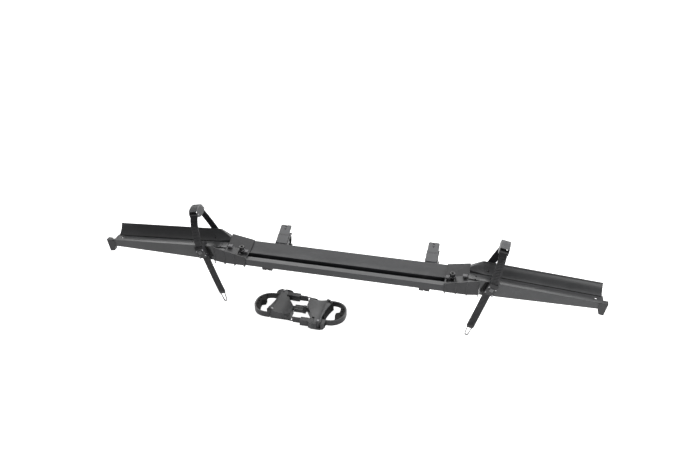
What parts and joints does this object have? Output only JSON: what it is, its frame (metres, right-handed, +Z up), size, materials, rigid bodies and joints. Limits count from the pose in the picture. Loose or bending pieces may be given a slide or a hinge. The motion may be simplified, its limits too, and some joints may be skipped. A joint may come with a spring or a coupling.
{
  "type": "bike rack wheel tray",
  "caption": "Bolt-on wheel tray for a hitch bike rack: channel, two sloping end trays with strap loops, two tube clamps, and a loose frame coupler.",
  "frame": {"origin": "axis of the rack tube, midway between the two arm clamps", "axes": "+X along the tray (right as seen in the picture), +Y back towards the rack, +Z up"},
  "size_m": [1.3, 0.2756, 0.2695],
  "materials": {
    "anodised_channel": "satin black anodised",
    "moulded_black": "satin, fine grain",
    "tray_plastic": "satin, fine grain",
    "powder_coat": "black powder coat",
    "strap_black": "satin",
    "liner_rubber": "matte",
    "lever_grey": "satin grey",
    "coupler_plastic": "satin",
    "zinc_steel": "zinc plated",
    "black_steel": "black oxide"
  },
  "bodies": {
    "tray_body": {"centre_channel": "anodised_channel", "arm_bolts": "zinc_steel", "arm_nut_plates": "zinc_steel", "junction_bolts": "zinc_steel", "sleeve_clamp_bolts": "black_steel", "tray_screws": "zinc_steel", "left_junction_sleeve": "moulded_black", "right_junction_sleeve": "moulded_black", "left_wheel_tray": "tray_plastic", "right_wheel_tray": "tray_plastic", "left_end_foot": "moulded_black", "right_end_foot": "moulded_black", "left_mount_arm": "powder_coat", "right_mount_arm": "powder_coat", "left_saddle_liner": "liner_rubber", "right_saddle_liner": "liner_rubber", "left_clamp_pins": "zinc_steel", "right_clamp_pins": "zinc_steel", "left_ladder_strap": "strap_black", "right_ladder_strap": "strap_black", "left_anchor_strap": "strap_black", "right_anchor_strap": "strap_black", "anchor_screws": "zinc_steel", "left_buckle_frame": "moulded_black", "right_buckle_frame": "moulded_black", "left_buckle_pins": "zinc_steel", "right_buckle_pins": "zinc_steel", "left_strap_lock": "moulded_black", "right_strap_lock": "moulded_black", "pawl_pins": "zinc_steel", "rub_strips": "liner_rubber"},
    "right_lever_body": {"right_clamp_lever": "lever_grey"},
    "right_jaw_body": {"right_clamp_jaw": "powder_coat", "right_jaw_liner": "liner_rubber"},
    "right_buckle_lever_body": {"right_buckle_lever": "lever_grey"},
    "right_button_body": {"right_release_button": "lever_grey"},
    "right_pawl_body": {"right_lock_pawl": "zinc_steel"},
    "left_lever_body": {"left_clamp_lever": "lever_grey"},
    "left_jaw_body": {"left_clamp_jaw": "powder_coat", "left_jaw_liner": "liner_rubber"},
    "left_buckle_lever_body": {"left_buckle_lever": "lever_grey"},
    "left_button_body": {"left_release_button": "lever_grey"},
    "left_pawl_body": {"left_lock_pawl": "zinc_steel"},
    "coupler_body": {"coupler_right_head": "coupler_plastic", "coupler_right_strap": "strap_black", "coupler_right_buckle": "moulded_black", "coupler_right_pins": "zinc_steel", "coupler_right_seat": "liner_rubber", "coupler_right_pad": "liner_rubber", "coupler_link": "coupler_plastic"},
    "coupler_swivel_body": {"coupler_left_head": "coupler_plastic", "coupler_left_strap": "strap_black", "coupler_left_buckle": "moulded_black", "coupler_left_pins": "zinc_steel", "coupler_left_seat": "liner_rubber", "coupler_left_pad": "liner_rubber"},
    "coupler_right_lever_body": {"coupler_right_lever": "coupler_plastic"},
    "coupler_left_lever_body": {"coupler_left_lever": "coupler_plastic"}
  },
  "joints": [
    {"name": "right_clamp_lever_hinge", "type": "hinge", "parent": "tray_body", "child": "right_lever_body", "pos_m": [0.2075, -0.03, 0.006], "axis": [1, 0, 0], "range_deg": [0, 100]},
    {"name": "right_clamp_jaw_hinge", "type": "hinge", "parent": "tray_body", "child": "right_jaw_body", "pos_m": [0.2075, -0.018, 0.01], "axis": [1, 0, 0], "range_deg": [0, 60]},
    {"name": "right_buckle_lever_hinge", "type": "hinge", "parent": "tray_body", "child": "right_buckle_lever_body", "pos_m": [0.39523, -0.133, 0.15916], "axis": [-0.9799, 0, 0.1994], "range_deg": [0, 85]},
    {"name": "right_button_slide", "type": "slide", "parent": "tray_body", "child": "right_button_body", "axis": [0, 1, 0], "range_m": [0, 0.0012], "stiffness_N_per_m": 600},
    {"name": "right_pawl_hinge", "type": "hinge", "parent": "tray_body", "child": "right_pawl_body", "pos_m": [0.37129, -0.19, 0.05063], "axis": [-0.9063, 0, 0.4226], "range_deg": [0, 8.5]},
    {"name": "left_clamp_lever_hinge", "type": "hinge", "parent": "tray_body", "child": "left_lever_body", "pos_m": [-0.2075, -0.03, 0.006], "axis": [1, 0, 0], "range_deg": [0, 100]},
    {"name": "left_clamp_jaw_hinge", "type": "hinge", "parent": "tray_body", "child": "left_jaw_body", "pos_m": [-0.2075, -0.018, 0.01], "axis": [1, 0, 0], "range_deg": [0, 60]},
    {"name": "left_buckle_lever_hinge", "type": "hinge", "parent": "tray_body", "child": "left_buckle_lever_body", "pos_m": [-0.39523, -0.133, 0.15916], "axis": [-0.9799, 0, -0.1994], "range_deg": [0, 85]},
    {"name": "left_button_slide", "type": "slide", "parent": "tray_body", "child": "left_button_body", "axis": [0, 1, 0], "range_m": [0, 0.0012], "stiffness_N_per_m": 600},
    {"name": "left_pawl_hinge", "type": "hinge", "parent": "tray_body", "child": "left_pawl_body", "pos_m": [-0.37129, -0.19, 0.05063], "axis": [-0.9063, 0, -0.4226], "range_deg": [0, 8.5]},
    {"name": "coupler_free", "type": "slide", "parent": "tray_body", "child": "coupler_body", "axis": [0, -1, 0], "range_m": [0, 0.25]},
    {"name": "coupler_swivel", "type": "hinge", "parent": "coupler_body", "child": "coupler_swivel_body", "pos_m": [-0.132, -0.184, -0.0855], "axis": [1, 0, 0], "range_deg": [0, 45]},
    {"name": "coupler_right_lever_hinge", "type": "hinge", "parent": "coupler_body", "child": "coupler_right_lever_body", "pos_m": [-0.05, -0.239, -0.0855], "axis": [0, 0, 1], "range_deg": [0, 45]},
    {"name": "coupler_left_lever_hinge", "type": "hinge", "parent": "coupler_swivel_body", "child": "coupler_left_lever_body", "pos_m": [-0.174, -0.129, -0.0855], "axis": [0, 0, 1], "range_deg": [0, 45]}
  ],
  "couplings": [
    {"joint": "right_clamp_jaw_hinge", "follows": "right_clamp_lever_hinge", "ratio": 0.6},
    {"joint": "right_pawl_hinge", "follows": "right_button_slide", "rad_per_m": 116.36},
    {"joint": "left_clamp_jaw_hinge", "follows": "left_clamp_lever_hinge", "ratio": 0.6},
    {"joint": "left_pawl_hinge", "follows": "left_button_slide", "rad_per_m": 116.36}
  ]
}
